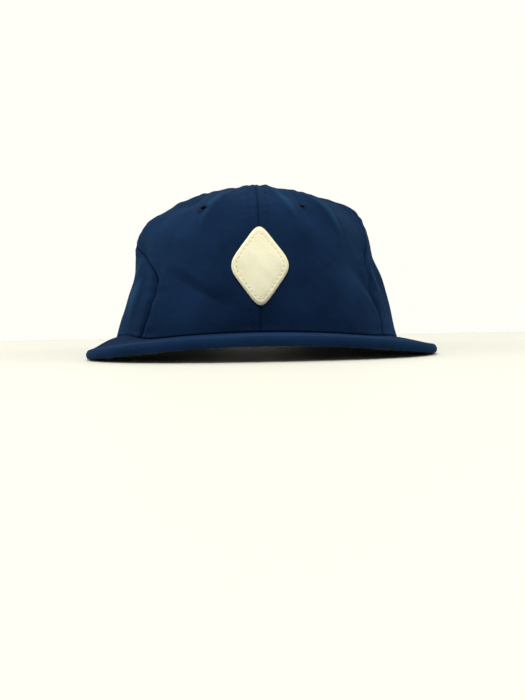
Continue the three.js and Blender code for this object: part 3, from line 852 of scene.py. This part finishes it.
# Takes a cutter's volume away from a piece, and removes the cutter.
def cutAway(piece, cutter):
    modifier = piece.modifiers.new("cut", "BOOLEAN")
    modifier.operation = "DIFFERENCE"
    modifier.solver = "EXACT"
    modifier.object = cutter
    evaluated = piece.evaluated_get(bpy.context.evaluated_depsgraph_get())
    cut = bpy.data.meshes.new_from_object(evaluated)
    piece.modifiers.clear()
    old = piece.data
    piece.data = cut
    bpy.data.meshes.remove(old)
    bpy.data.objects.remove(cutter)


# A cutter between two outlines with the same number of points.
def prism(near, far):
    count = len(near)
    faces = [list(range(count - 1, -1, -1)), list(range(count, 2 * count))]
    faces += [[i, (i + 1) % count, count + (i + 1) % count, count + i] for i in range(count)]
    return faceOutward(plainObject("cutter", np.concatenate([near, far]), faces))


# A round cutter through the cloth at an eyelet.
def eyeletCutter(turn, rise):
    look = eyeletLook
    angle = circle(look["holeSides"])
    ring = np.stack([look["hole"] * np.cos(angle), look["hole"] * np.sin(angle), 0 * angle], -1)
    reach = np.array([0, 0, look["holeReach"]])
    return prism(onSkin(ring - reach, turn, rise), onSkin(ring + reach, turn, rise))


# The arch's outline from its right foot to its left one: half an ellipse over the straight part.
def archOutline(count):
    angle = np.linspace(0, np.pi, count)
    x = archHalfWidth * np.cos(angle)
    z = archStraight + (archHeight - archStraight) * np.sin(angle)
    return x, z


# The arch's outline, closed below the table and drawn out through the back.
def archCutter():
    x, z = archOutline(archCut["sides"])
    x = np.concatenate([[archHalfWidth], x, [-archHalfWidth]])
    z = np.concatenate([[-archCut["below"]], z, [-archCut["below"]]])
    near = np.stack([x, 0 * x + crownMiddleY + archCut["near"], z], -1)
    return prism(near, near + np.array([0, archCut["far"] - archCut["near"], 0]))


for number, panel in enumerate(panelNames):
    points, uv, values = panelPoints(panel)
    faces = shellFaces(len(points), points.shape[1])
    piece = faceOutward(makeObject("cloth_" + panel, points, faces, uv, values))
    cutAway(piece, eyeletCutter(eyelets["turn"][number], eyelets["rise"][number]))
    if panel.startswith("back"):
        cutAway(piece, archCutter())
    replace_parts(wear(piece, navyWool), "panel_" + panel)
print("panels ready")


seamStitch = {"from": 0.02, "to": 0.93, "points": 160, "overArch": 0.004}


# Top stitching along both sides of every seam, from the rim to near the button, and at the back from above
# the arch.
def seamStitchPaths():
    paths = []
    rise = np.linspace(seamStitch["from"], seamStitch["to"], seamStitch["points"])
    lines = [("left", -1), ("right", 1), ("backLeft", -1), ("backRight", 1), ("front", 0), ("back", 180)]
    distance = np.full_like(rise, seamLook["stitchAt"])
    for name, sign in lines:
        middle = sign * curveAt(seams[name], rise) if name in seams else np.full_like(rise, sign)
        for side in (-1, 1):
            turn = middle + side * np.degrees(seamLook["stitchAt"] / outlineRadius(middle, rise))
            path = skin(turn, rise, 0, distance)
            kept = (path[:, 2] > archHeight + seamStitch["overArch"]) | (name != "back")
            paths.append((path[kept], skinNormal(turn[kept], rise[kept])))
    return paths


wear(stitches("seam_stitches", seamStitchPaths(), stitchLook), navyThread)


# Visor
visorOutline = {"frontShare": 0.72, "pastSweep": 1.0}


# The visor's edge, for a share across from -1 to 1: a rounded front as a power of sine and cosine, and sides
# that run back to the crown, the last part of them curving in.
def visorEdge(share):
    frontShare = visorOutline["frontShare"]
    sweep = visorSweep + visorOutline["pastSweep"]
    q = np.abs(share)
    side = np.sign(share)
    endRadius = outlineRadius(np.array(sweep), np.array(0.0))
    endX = endRadius * math.sin(math.radians(sweep))
    endY = -endRadius * math.cos(math.radians(sweep))
    p = np.clip((q - frontShare) / (1 - frontShare), 0, 1)
    sideX = visorHalfWidth - (visorHalfWidth - endX) * p * p
    sideY = -visorWidestAt + (visorWidestAt + endY) * p
    angle = np.clip(q / frontShare, 0, 1) * math.pi / 2
    depth = crownFront + visorReach - visorWidestAt
    frontX = visorHalfWidth * np.sin(angle) ** (2 / visorSquareness)
    frontY = -visorWidestAt - depth * np.clip(np.cos(angle), 0, 1) ** (2 / visorSquareness)
    x = np.where(q > frontShare, sideX, frontX)
    y = np.where(q > frontShare, sideY, frontY)
    return np.stack([side * x, y + crownMiddleY], -1)


# Places on the visor: a share across from -1 to 1, and a distance in from the edge or a part of the depth.
def visorPlace(share, part, fromEdge, height):
    rear = skin(share * visorSweep, np.zeros_like(share), clothWall)[..., :2]
    edge = visorEdge(share)
    length = np.linalg.norm(edge - rear, axis=-1)
    along = np.clip(np.minimum(part, 1 - fromEdge / length), 0, 1)
    point = rear + (edge - rear) * along[..., None]
    z = visorLift(point[..., 0], point[..., 1] - crownMiddleY) + height((1 - along) * length)
    return np.concatenate([point, z[..., None]], -1), (1 - along) * length


visorLook = {"columns": 200, "depthRows": 92, "noseRows": 14, "lipRows": 12, "lip": 0.0045, "nose": 0.0028,
             "rowGap": 0.0062, "firstRow": 0.0062, "rowDip": 0.00022, "rowWidth": 0.0009, "rows": 9,
             "crowded": 0.06}
visorUnderMesh = {"columns": 160, "rows": 20, "gap": 0.0002}


# How far the rows of stitching draw the cloth down: a bell curve at each row.
def visorTopDip(distance):
    dip = np.zeros_like(distance)
    for row in range(visorLook["rows"]):
        at = visorLook["firstRow"] + row * visorLook["rowGap"]
        dip = dip + bump((distance - at) / visorLook["rowWidth"])
    return visorLook["rowDip"] * dip


# The upper cloth goes over the edge and a little way in below it, up to the under cloth.
def visorShell():
    look = visorLook
    across = np.linspace(-1, 1, look["columns"])
    share = across * (1 - look["crowded"] * (1 - across * across))
    half = visorStack / 2
    rings = [(part, look["nose"], visorStack, True) for part in np.linspace(0, 1, look["depthRows"])]
    for angle in np.linspace(0, math.pi, look["noseRows"] + 2)[1:-1]:
        rings.append((1.0, look["nose"] * (1 - math.sin(angle)), half + half * math.cos(angle), False))
    for fromEdge in np.linspace(look["nose"], look["lip"], look["lipRows"]):
        rings.append((1.0, fromEdge, 0.0, False))
    for part in np.linspace(1, 0, look["depthRows"] - look["lipRows"]):
        rings.append((part, look["lip"], visorUnderCloth + pieceGap, False))
    points, maps = [], []
    for part, fromEdge, level, top in rings:
        dip = visorTopDip if top else np.zeros_like
        ring = visorPlace(share, part, fromEdge, lambda distance: level - dip(distance))[0]
        points.append(ring)
        maps.append(ring[:, :2])
    return np.array(points), shellFaces(len(points), len(share)), np.array(maps)


points, faces, uv = visorShell()
visorPiece = faceOutward(makeObject("cloth_visor", points, faces, uv))
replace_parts(wear(visorPiece, navyWool), "visor")


visorStitch = dict(stitchLook, pitch=0.0034, length=0.0027, points=500, slack=0.999, fromCrown=0.004)


# Rows of stitching side by side with the visor's edge, each one as far as it stays clear of the crown.
def visorStitchPaths():
    paths = []
    share = np.linspace(-1, 1, visorStitch["points"])
    level = visorUnderCloth + pieceGap + visorBoard / 2
    for row in range(visorLook["rows"]):
        at = visorLook["firstRow"] + row * visorLook["rowGap"]
        path, distance = visorPlace(share, 1.0, at, lambda d: level + visorBoard / 2 - visorTopDip(d))
        kept = distance > at * visorStitch["slack"]
        rear = skin(share * visorSweep, 0, clothWall)
        kept &= np.linalg.norm(path[:, :2] - rear[:, :2], axis=1) > visorStitch["fromCrown"]
        path = path[kept]
        paths.append((path, np.tile([0.0, 0, 1], (len(path), 1))))
    return paths


wear(stitches("visor_stitches", visorStitchPaths(), visorStitch), navyThread)


# The under cloth: flat rings out to the lip and back, its upper side and its lower one.
def visorUnder():
    look = visorUnderMesh
    share = np.linspace(-1, 1, look["columns"])
    inset = visorLook["lip"] + look["gap"]
    out = np.linspace(0, 1, look["rows"])
    rings = [visorPlace(share, part, inset, lambda d: 0 * d + visorUnderCloth)[0] for part in out]
    rings += [visorPlace(share, part, inset, lambda d: 0 * d)[0] for part in out[::-1]]
    points = np.array(rings)
    return points, shellFaces(len(points), len(share)), points[..., :2]


points, faces, uv = visorUnder()
underPiece = faceOutward(makeObject("cloth_visor_underside", points, faces, uv))
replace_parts(wear(underPiece, greenGreySatin), "visor_underside")
print("visor ready")


# Strips along the wall: band, strap and tab
# Turn from the back's middle to a distance beside it: an arc sine, kept short of its steep end.
def backTurn(fromMiddle):
    return math.degrees(math.asin(min(0.95, fromMiddle / crownBack)))


strapEnd = backTurn(archHalfWidth + strapHidden)
tabEnd = backTurn(archHalfWidth - tabShown)
tabStart = backTurn(archHalfWidth + tabHidden)
bandLeftEnd = backTurn(archHalfWidth + tabHidden + bandEndGap)
bandRightEnd = backTurn(archHalfWidth + bandEndGap)
strapInset = clothWall + strapAir
tabInset = strapInset + strapWall + pieceGap


roundRows = 5  # along each rounded edge, an odd number


# A strip with rounded long edges between two turns, with lower and upper heights along it. Its rings start in
# the middle of the upper edge and mirror each other. At both ends the last step to a middle ring is open.
def stripShell(name, fromTurn, toTurn, lower, upper, inset, wall, columns, rows):
    share = np.linspace(0, 1, columns)
    turn = fromTurn + (toTurn - fromTurn) * share
    low, high = lower(turn, share), upper(turn, share)
    angle = np.linspace(0, np.pi, roundRows + 2)[1:-1]
    edge = wall / 2
    heights = [low + edge + (high - low - 2 * edge) * step for step in np.linspace(0, 1, rows)]
    rings = [(height, 0.0) for height in heights[::-1]]
    rings += [(low + edge * (1 - np.sin(a)), wall * (1 - np.cos(a)) / 2) for a in angle]
    rings += [(height, wall) for height in heights]
    rings += [(high - edge * (1 - np.sin(a)), wall * (1 + np.cos(a)) / 2) for a in angle]
    first = -(roundRows // 2 + 1)
    rings = rings[first:] + rings[:first]
    points = np.array([wallPoint(turn, height, inset(turn) + depth) for height, depth in rings])
    uv = np.stack([np.broadcast_to(np.radians(turn) * crownBack, points.shape[:2]), points[..., 2]], -1)
    return faceOutward(makeObject(name, points, shellFaces(len(points), columns, 1), uv))


# 1 where the strap lies between the sweatband and the wall, and 0 away from it.
def behindStrap(turn):
    return 1 - smoothStep(strapEnd + 2, strapEnd + 12, 180 - np.abs(foldedTurn(turn)))


bandPiece = stripShell(
    "leather_sweatband", bandLeftEnd - 180, 180 - bandRightEnd,
    lambda turn, share: np.maximum(bandFloorGap, rimHeight(turn) - visorStack - pieceGap),
    lambda turn, share: rimHeight(turn) + bandWidth,
    lambda turn: clothWall + bandAir + strapWall * behindStrap(turn), bandWall, columns=260, rows=16)
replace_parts(wear(bandPiece, brownLeather), "sweatband")

strapPiece = stripShell(
    "leather_strap", 180 - strapEnd, 180 + strapEnd,
    lambda turn, share: np.full_like(turn, strapHeight),
    lambda turn, share: np.full_like(turn, strapHeight + strapWidth),
    lambda turn: np.full_like(turn, strapInset), strapWall, columns=110, rows=12)
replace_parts(wear(strapPiece, brownLeather), "back_strap")


# How much the tab's rounded corners take off its height at a share along it: a quarter circle.
def tabCut(share):
    length = math.radians(tabStart - tabEnd) * crownBack / tabCorner
    fromEnd = np.minimum(1, share * length)
    return tabCorner * (1 - np.sqrt(np.maximum(0, 1 - (1 - fromEnd) ** 2)))


tabPiece = stripShell(
    "cloth_tab", 180 + tabEnd, 180 + tabStart,
    lambda turn, share: tabHeight + tabCut(share),
    lambda turn, share: tabHeight + tabWidth - tabCut(share),
    lambda turn: np.full_like(turn, tabInset), tabWall, columns=60, rows=14)
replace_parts(wear(tabPiece, navyWool), "strap_tab")
print("band, strap and tab ready")


hemLook = {"sides": 16, "round": 120, "foot": 0.0012, "around": 14, "thick": 0.0004, "wide": 0.0011,
           "tries": 6, "mapAlong": 0.0012, "mapAround": 0.0006}


# A rolled hem along the arch's cut edge: an ellipse carried along the outline, laid on the cloth by finding
# turn and rise from each other a few times.
def archHem():
    look = hemLook
    x, z = archOutline(look["round"])
    side = np.full(look["sides"], archHalfWidth)
    foot = np.linspace(look["foot"], archStraight, look["sides"])
    x = np.concatenate([side, x[1:-1], -side])
    z = np.concatenate([foot, z[1:-1], np.linspace(archStraight, look["foot"], look["sides"])])
    turn = 180 - np.degrees(np.arcsin(x / crownBack))
    for _ in range(look["tries"]):
        rise = riseWhere(turn, lambda p: p[..., 2], z)
        turn = 180 - np.degrees(np.arcsin(np.clip(x / outlineRadius(turn, rise), -0.99, 0.99)))
    middle = skin(turn, rise, clothWall / 2)
    normal = skinNormal(turn, rise)
    inward = unit(np.cross(unit(np.gradient(middle, axis=0)), normal))
    thick = clothWall * 0.5 + look["thick"]
    rings = [middle + normal * (math.sin(a) * thick) + inward * (math.cos(a) * look["wide"])
             for a in circle(look["around"])]
    return np.array(rings)


points = archHem()
rings, columns = points.shape[:2]
uv = np.stack(np.broadcast_arrays(np.arange(columns)[None, :] * hemLook["mapAlong"],
                                  np.arange(rings)[:, None] * hemLook["mapAround"]), -1)
hem = makeObject("cloth_arch_hem", points, ringFaces(rings, columns, False), uv)
wear(faceOutward(hem), navyWool)


# Eyelets: a low ring of thread wound over the hole's edge, thicker and thinner with each thread.
def eyeletRing(name, turn, rise):
    look = eyeletLook
    columns = look["threads"] * look["perThread"]
    angle = circle(columns)[None, :]
    section = circle(look["around"])[:, None]
    twist = angle * look["threads"] / 2 + look["slant"] * np.cos(section)
    strand = 1 + look["strand"] * np.abs(np.sin(twist))
    radius = look["radius"] + look["wide"] * strand * np.cos(section)
    height = look["high"] * strand * np.sin(section) - look["sink"]
    points = np.stack([radius * np.cos(angle), radius * np.sin(angle), height], -1)
    faces = ringFaces(look["around"], columns)
    return makeObject(name, onSkin(points, turn, rise), faces)


for number, panel in enumerate(panelNames):
    ring = eyeletRing("thread_eyelet_" + panel, eyelets["turn"][number], eyelets["rise"][number])
    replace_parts(wear(faceOutward(ring), eyeletThread), "eyelet_" + panel)


buttonLook = {"columns": 96, "rows": 26, "from": 0.02, "power": 0.7, "flat": 0.98,
              "gather": 0.03, "gathers": 16, "gatherFrom": 0.75,
              "under": (0.94, 0.7, 0.34), "underGap": 0.0002, "foot": (0.34, 0.02), "footGap": 0.0001}


# Button: cloth drawn over a dome, a power of a sine, and gathered towards its edge. Flat rings close it under
# the dome and at the foot of its stem, their radii as shares of the button's.
def buttonShell():
    look = buttonLook
    low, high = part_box("top_button")
    middle = (low + high) / 2
    angle = circle(look["columns"])[None, :]
    base = high.z - buttonDome
    up = np.linspace(look["from"], 1, look["rows"])[:, None] * math.pi / 2
    waves = (0.5 + 0.5 * np.sin(angle * look["gathers"])) * smoothStep(look["gatherFrom"], 1, np.sin(up))
    dome = buttonRadius * np.sin(up) ** look["power"] * (1 - look["gather"] * waves)
    under = [(share, base - look["underGap"]) for share in look["under"]]
    foot = [(share, low.z + look["footGap"]) for share in look["foot"]]
    shares, levels = np.array(under + foot).T[:, :, None]
    radius = np.concatenate([dome, shares * buttonRadius + 0 * angle])
    height = np.concatenate([base + buttonDome * np.cos(up) * look["flat"], levels])
    x = middle.x + radius * np.cos(angle)
    y = middle.y + radius * np.sin(angle)
    return np.stack([x, y, height + 0 * angle], -1)


points = buttonShell()
uv = points[..., :2]
button = makeObject("cloth_button", points, ringFaces(len(points), points.shape[1]), uv)
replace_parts(wear(faceOutward(button), navyWool), "top_button")


patchLook = {"cells": 60, "thinFrom": 0.88, "thinBy": 0.55,
             "stitchAt": 0.83, "dip": 0.0003, "dipWidth": 0.035}


# A place on the felt diamond: a square grid drawn in to a rounded square, and turned to stand on its corner.
def patchPoint(across, up, inset):
    corner = (np.abs(across) ** patchSquareness + np.abs(up) ** patchSquareness) ** (1 / patchSquareness)
    pull = np.maximum(np.abs(across), np.abs(up)) / np.maximum(corner, 1e-6)
    g, h = across * pull, up * pull
    height = patchHeight + (h + g) / 2 * patchHalfHeight
    rise = riseWhere(np.zeros_like(height), lambda p: p[..., 2], height)
    radius = outlineRadius(np.zeros_like(height), rise)
    turn = (g - h) / 2 * np.degrees(patchHalfWidth / radius)
    return wallPoint(turn, height, inset), turn, rise


# The diamond: its outside, thinner towards its edge and drawn in at its stitching, and its back.
def patchShell():
    look = patchLook
    share = np.linspace(-1, 1, look["cells"])
    across, up = np.meshgrid(share, share)
    reach = np.maximum(np.abs(across), np.abs(up))
    edgeDrop = patchWall * look["thinBy"] * smoothStep(look["thinFrom"], 1.0, reach) ** 2
    stitchDip = look["dip"] * bump((reach - look["stitchAt"]) / look["dipWidth"])
    outer = patchPoint(across, up, -pieceGap - patchWall + edgeDrop + stitchDip)[0]
    inner = patchPoint(across, up, -pieceGap + 0 * across)[0]
    points = np.concatenate([outer[::-1], inner])
    uv = np.concatenate([np.stack([across[::-1], up[::-1]], -1), np.stack([across, up], -1)]) * patchHalfWidth
    return points, shellFaces(len(points), look["cells"]), uv


points, faces, uv = patchShell()
patchPiece = faceOutward(makeObject("felt_patch", points, faces, uv))
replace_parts(wear(patchPiece, creamFelt), "front_patch")


# One path round the diamond, just inside its edge.
def patchStitchPaths():
    side = np.linspace(-1, 1, patchLook["cells"])
    one = np.ones_like(side)
    across = np.concatenate([side, one, side[::-1], -one]) * patchLook["stitchAt"]
    up = np.concatenate([-one, side, one, side[::-1]]) * patchLook["stitchAt"]
    path, turn, rise = patchPoint(across, up, -pieceGap - patchWall + patchLook["dip"])
    return [(path, skinNormal(turn, rise))]


patchStitch = dict(stitchLook, pitch=0.0027, length=0.0021, width=0.00036, height=0.00028)
wear(stitches("patch_stitches", patchStitchPaths(), patchStitch), creamThread)
print("trim ready")


# Table, wall, light and camera. A plain surface, which glows or shows its colour by the room's light.
def stageMaterial(name, colour, glow, roughness):
    material, tree = newMaterial(name)
    surface = addNode(tree, "ShaderNodeBsdfPrincipled", {
        "Base Color": (0, 0, 0, 1) if glow else colour, "Roughness": roughness, "Specular IOR Level": 0.2,
        "Emission Color": colour, "Emission Strength": glow})
    addNode(tree, "ShaderNodeOutputMaterial", {"Surface": surface.outputs[0]})
    return material


# A flat face of the stage.
def stagePlane(name, corners, material):
    piece = plainObject(name, corners, [list(range(len(corners)))])
    piece.data.materials.append(material)


tableSpan = {"side": 1.4, "front": -1.2, "back": 0.30, "corner": 0.08, "steps": 10}
wall = {"at": 1.1, "side": 4, "below": -2, "top": 4}


# The table's outline: straight in front, with its two far corners rounded by quarter circles.
def tableCorners():
    span = tableSpan
    angle = np.linspace(0, math.pi / 2, span["steps"])
    x = span["side"] - span["corner"] * (1 - np.cos(angle))
    y = span["back"] - span["corner"] * (1 - np.sin(angle))
    right = [(span["side"], span["front"], 0), *zip(x, y, 0 * x)]
    return [(-span["side"], span["front"], 0), *right, *zip(-x[::-1], y[::-1], 0 * x)]


tableTop = stageMaterial("tableTop", (0.68, 0.67, 0.59, 1), 0.0, 0.6)
wallPaint = stageMaterial("wallPaint", linear(254, 254, 247), 1.0, 0.9)
stagePlane("table", tableCorners(), tableTop)
corners = ((-1, "below"), (1, "below"), (1, "top"), (-1, "top"))
stagePlane("wall", [(sign * wall["side"], wall["at"], wall[level]) for sign, level in corners], wallPaint)

world = bpy.data.worlds.new("room")
bpy.context.scene.world = world
world.use_nodes = True
background = world.node_tree.nodes["Background"]
background.inputs["Color"].default_value = (1.0, 0.99, 0.96, 1)
background.inputs["Strength"].default_value = 0.5


# A rectangular light that looks at a target.
def areaLight(name, place, target, width, height, power, colour=(1, 1, 1)):
    data = bpy.data.lights.new(name, "AREA")
    data.shape = "RECTANGLE"
    data.size, data.size_y = width, height
    data.energy = power
    data.color = colour
    lamp = bpy.data.objects.new(name, data)
    lamp.location = place
    lamp.rotation_euler = (Vector(target) - Vector(place)).to_track_quat("-Z", "Y").to_euler()
    bpy.context.scene.collection.objects.link(lamp)


areaLight("ceiling", (-0.15, -0.55, 1.1), (0, 0, 0.05), 0.9, 0.9, 13, (1, 0.99, 0.97))
areaLight("left", (-1.1, 0.3, 0.5), (0, 0, 0.05), 0.7, 0.7, 4)
areaLight("right", (1.1, 0.3, 0.5), (0, 0, 0.05), 0.7, 0.7, 4)

# The camera stands as in the photo: near the table's level, a little to the cap's left.
eye = {"distance": 0.506, "height": 0.022, "aside": 1.9, "down": 2.68, "turn": 0.5, "roll": -0.95,
       "lens": 38.5, "sensor": 36}


# The camera, on a circle round the crown's middle and turned by heading, tilt and roll.
def placeCamera():
    data = bpy.data.cameras.new("eye")
    data.lens = eye["lens"]
    data.sensor_width = eye["sensor"]
    data.sensor_fit = "AUTO"
    data.clip_start = 0.01
    camera = bpy.data.objects.new("eye", data)
    aside = math.radians(eye["aside"])
    camera.location = (-math.sin(aside) * eye["distance"], crownMiddleY - math.cos(aside) * eye["distance"],
                       eye["height"])
    heading = -math.radians(eye["aside"]) - math.radians(eye["turn"])
    turn = Matrix.Rotation(heading, 4, "Z") @ Matrix.Rotation(math.radians(90 - eye["down"]), 4, "X")
    turn = turn @ Matrix.Rotation(math.radians(eye["roll"]), 4, "Z")
    camera.rotation_euler = turn.to_euler()
    bpy.context.scene.collection.objects.link(camera)
    bpy.context.scene.camera = camera


placeCamera()
bpy.context.scene.view_settings.view_transform = "Standard"
bpy.context.scene.view_settings.look = "None"
bpy.context.scene.view_settings.exposure = 0.0

bpy.context.view_layer.update()
